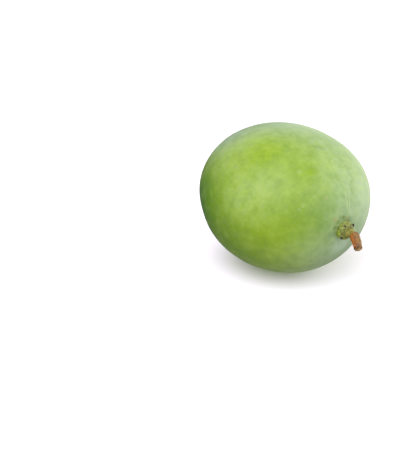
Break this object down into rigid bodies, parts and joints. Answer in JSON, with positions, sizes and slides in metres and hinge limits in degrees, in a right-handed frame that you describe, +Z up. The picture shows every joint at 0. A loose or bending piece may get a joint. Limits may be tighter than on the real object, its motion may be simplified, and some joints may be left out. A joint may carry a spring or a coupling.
{
  "type": "mango",
  "caption": "Whole green mango lying on its cheek, with a knobbly stem end and a short, cut woody stalk.",
  "frame": {"origin": "the middle of the small flat spot on the lower cheek that the fruit rests on", "axes": "+Z up, away from the surface that the fruit lies on; +X level, from the apex towards the stem end; +Y towards the fruit's back"},
  "size_m": [0.135, 0.0957, 0.0879],
  "materials": {
    "skin": "smooth waxy green skin with a satin sheen, a pale bloom towards the stem end and tiny pale dots",
    "stem": "yellow-green knob with dark scars, running into fibrous orange-brown bark with a cut end"
  },
  "bodies": {
    "root": {"fruit": "skin", "stem": "stem"}
  },
  "joints": []
}
